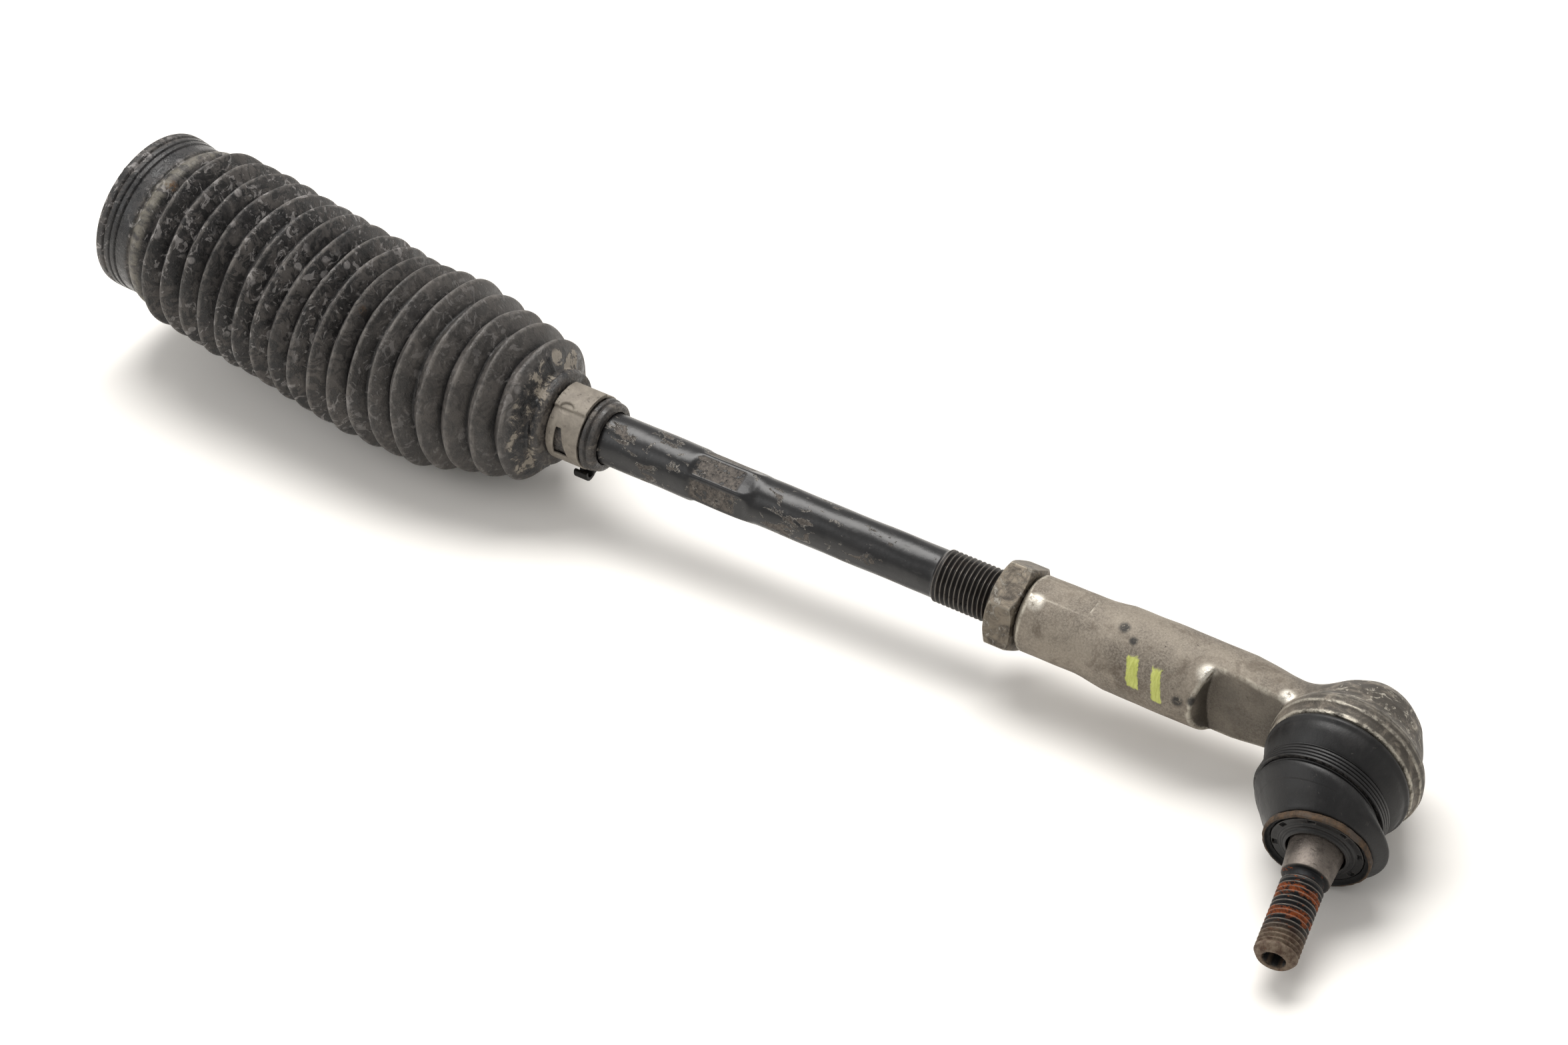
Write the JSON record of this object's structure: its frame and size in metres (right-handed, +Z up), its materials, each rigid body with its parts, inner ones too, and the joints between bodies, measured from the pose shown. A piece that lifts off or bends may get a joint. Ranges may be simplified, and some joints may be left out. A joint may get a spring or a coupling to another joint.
{
  "type": "tie rod end",
  "caption": "Steering tie rod: rack-end ball joint in a rubber bellows, threaded rod with jam nut, forged outer ball joint with boot and threaded stud.",
  "frame": {"origin": "centre of the bounding box at the surface the assembly lies on", "axes": "+X along the rod from the rack to the wheel, +Z up from the surface; the ball stud points towards -Y"},
  "size_m": [0.4438, 0.106, 0.0695],
  "materials": {
    "black_paint": "semi-gloss black paint, worn at the wrench flats",
    "bare_steel": "oily machined steel",
    "nylon": "smooth greased polymer",
    "bellows_rubber": "matt black rubber with grey dust",
    "clamp_steel": "dull coated spring steel",
    "zinc_nut": "worn zinc",
    "forged_steel": "grey coated forging, rubbed at the edges",
    "boot_rubber": "satin black rubber",
    "boot_spring_steel": "black coated spring wire",
    "rusty_steel": "rusted rim",
    "stud_steel": "bare ground taper, rusted thread"
  },
  "bodies": {
    "tie_rod": {"tie_rod_shaft": "black_paint"},
    "bellows_neck": {"bellows_neck": "bellows_rubber", "bellows_clamp": "clamp_steel", "bellows_front_folds": "bellows_rubber"},
    "bellows_middle": {"bellows_middle_folds": "bellows_rubber"},
    "rack_end": {"inner_joint_housing": "bare_steel", "inner_ball_seat": "nylon", "bellows_rear_folds": "bellows_rubber"},
    "bellows_collar": {"bellows_collar": "bellows_rubber"},
    "jam_nut": {"jam_nut": "zinc_nut"},
    "outer_housing": {"outer_housing": "forged_steel", "outer_ball_seat": "nylon", "seat_retaining_ring": "bare_steel", "boot_collar": "boot_rubber", "boot_spring_ring": "boot_spring_steel"},
    "dust_boot": {"dust_boot": "boot_rubber"},
    "boot_ring": {"boot_ring": "rusty_steel", "boot_seal_disc": "boot_rubber"},
    "ball_stud": {"ball_stud": "stud_steel"}
  },
  "joints": [
    {"name": "rod_spin", "type": "hinge", "parent": "tie_rod", "child": "bellows_neck", "pos_m": [-0.04978, 0.01751, 0.02877], "axis": [0.9996, 0, -0.0279], "continuous": true},
    {"name": "rack_swing_up", "type": "hinge", "parent": "bellows_neck", "child": "bellows_middle", "pos_m": [-0.11575, 0.01751, 0.03061], "axis": [0, 1, 0], "range_deg": [-23.2, 12.8], "deforming": ["bellows_middle_folds"]},
    {"name": "rack_swing_side", "type": "hinge", "parent": "bellows_middle", "child": "rack_end", "pos_m": [-0.11575, 0.01751, 0.03061], "axis": [0.1184, 0, 0.993], "range_deg": [-13.7, 22.3], "deforming": ["bellows_middle_folds"]},
    {"name": "bellows_stretch", "type": "slide", "parent": "rack_end", "child": "bellows_collar", "axis": [-0.9902, 0.075, 0.1181], "range_m": [-0.028, 0.04], "stiffness_N_per_m": 60, "deforming": ["bellows_rear_folds"]},
    {"name": "thread_travel", "type": "slide", "parent": "tie_rod", "child": "jam_nut", "axis": [0.9996, 0, -0.0279], "range_m": [-0.0076, 0.0076]},
    {"name": "housing_turn", "type": "hinge", "parent": "jam_nut", "child": "outer_housing", "pos_m": [0.12015, 0.01751, 0.02403], "axis": [0.9996, 0, -0.0279], "range_deg": [-1800, 1800]},
    {"name": "stud_swing_down", "type": "hinge", "parent": "outer_housing", "child": "dust_boot", "pos_m": [0.20012, 0.01751, 0.02179], "axis": [0.9996, 0, -0.0279], "range_deg": [-22.5, 3.5], "deforming": ["dust_boot", "boot_collar"]},
    {"name": "stud_swing_side", "type": "hinge", "parent": "dust_boot", "child": "boot_ring", "pos_m": [0.20012, 0.01751, 0.02179], "axis": [0.0275, -0.165, 0.9859], "range_deg": [-21.2, 4.8], "deforming": ["dust_boot", "boot_collar"]},
    {"name": "stud_spin", "type": "hinge", "parent": "boot_ring", "child": "ball_stud", "pos_m": [0.20012, 0.01751, 0.02179], "axis": [0.138, -0.9762, -0.1673], "continuous": true}
  ],
  "couplings": [
    {"joint": "thread_travel", "follows": "housing_turn", "m_per_rad": 0.00023873}
  ]
}
